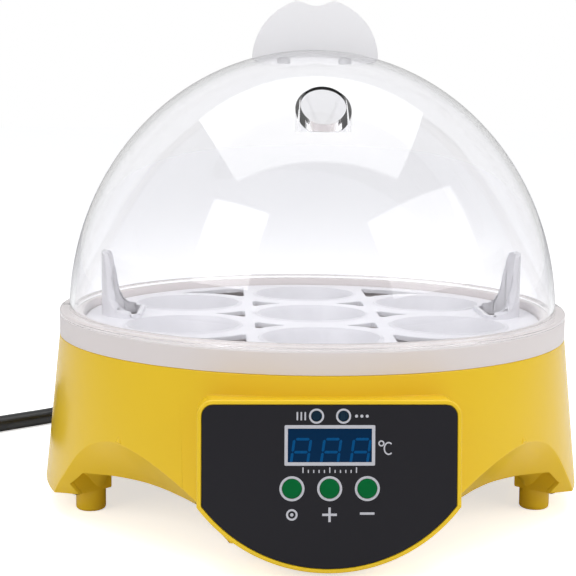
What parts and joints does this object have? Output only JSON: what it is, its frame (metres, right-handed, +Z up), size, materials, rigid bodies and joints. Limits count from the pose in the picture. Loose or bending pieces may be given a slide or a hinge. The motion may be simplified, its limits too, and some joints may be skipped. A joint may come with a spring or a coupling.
{
  "type": "egg incubator",
  "caption": "Tabletop egg incubator: clear lift-off dome on a yellow arched base, white egg tray over a water tub, fan heater, front control panel and power cord.",
  "frame": {"origin": "on the surface that the object stands on, under the middle of its body's box (cord, plug and strain relief left out)", "axes": "+Z up, -Y towards the control panel, +X to the right as seen from the panel; the body is longest along Y"},
  "size_m": [0.3874, 0.3403, 0.2109],
  "materials": {
    "yellow_plastic": "glossy moulded",
    "white_plastic": "satin moulded",
    "clear_plastic": "clear polished",
    "screw_steel": "zinc plated",
    "fan_plastic": "matte",
    "grey_plastic": "satin",
    "heater_metal": "satin",
    "red_wire": "satin",
    "black_wire": "satin",
    "grey_wire": "satin",
    "black_rubber": "matte",
    "black_plastic": "satin",
    "board_green": "satin",
    "transformer_tape": "glossy tape",
    "capacitor_sleeve": "glossy",
    "relay_blue": "satin",
    "terminal_green": "satin",
    "display_blue": "glossy window",
    "overlay_black": "satin film",
    "led_lens": "clear lens",
    "button_green": "satin",
    "cord_black": "glossy PVC",
    "blade_metal": "nickel plated"
  },
  "bodies": {
    "base": {"base_shell": "yellow_plastic", "bottom_cover": "yellow_plastic", "panel_back_cover": "yellow_plastic", "cover_screws": "screw_steel", "tub_screws": "screw_steel", "fan_screws": "screw_steel", "board_screws": "screw_steel", "control_board_screws": "screw_steel", "back_cover_screws": "screw_steel", "inner_tub": "white_plastic", "fan_frame": "fan_plastic", "fan_grille": "grey_plastic", "heater_ring": "heater_metal", "heater_clips": "heater_metal", "heater_leads": "red_wire", "fan_leads": "red_wire", "temp_sensor": "black_plastic", "sensor_lead": "black_wire", "mains_lead": "black_wire", "board_ribbon": "grey_wire", "wire_grommets": "black_rubber", "power_board": "board_green", "control_board": "board_green", "transformer": "transformer_tape", "smoothing_capacitor": "capacitor_sleeve", "heater_relay": "relay_blue", "terminal_block": "terminal_green", "display_module": "black_plastic", "display_window": "display_blue", "panel_overlay": "overlay_black", "indicator_leds": "led_lens", "tact_switches": "black_plastic", "buzzer": "black_plastic", "strain_relief": "black_rubber", "power_cord": "cord_black", "cord_coil": "cord_black", "plug_body": "cord_black", "plug_blades": "blade_metal"},
    "dome": {"dome": "clear_plastic", "top_handle": "white_plastic", "handle_screws": "screw_steel"},
    "tray": {"egg_tray": "white_plastic"},
    "fan": {"fan_rotor": "fan_plastic"},
    "set_key": {"button_set": "button_green"},
    "plus_key": {"button_plus": "button_green"},
    "minus_key": {"button_minus": "button_green"}
  },
  "joints": [
    {"name": "dome_lift", "type": "slide", "parent": "base", "child": "dome", "axis": [0, 0, 1], "range_m": [0, 0.15]},
    {"name": "tray_lift", "type": "slide", "parent": "base", "child": "tray", "axis": [0, 0, 1], "range_m": [0, 0.06]},
    {"name": "fan_spin", "type": "hinge", "parent": "base", "child": "fan", "pos_m": [0, 0.0052, 0.035], "axis": [0, 0, 1], "continuous": true},
    {"name": "set_press", "type": "slide", "parent": "base", "child": "set_key", "axis": [0, 0.9945, -0.1045], "range_m": [0, 0.0005], "stiffness_N_per_m": 400},
    {"name": "plus_press", "type": "slide", "parent": "base", "child": "plus_key", "axis": [0, 0.9945, -0.1045], "range_m": [0, 0.0005], "stiffness_N_per_m": 400},
    {"name": "minus_press", "type": "slide", "parent": "base", "child": "minus_key", "axis": [0, 0.9945, -0.1045], "range_m": [0, 0.0005], "stiffness_N_per_m": 400}
  ],
  "couplings": [
    {"joint": "tray_lift", "follows": "dome_lift", "ratio": 0.4}
  ]
}
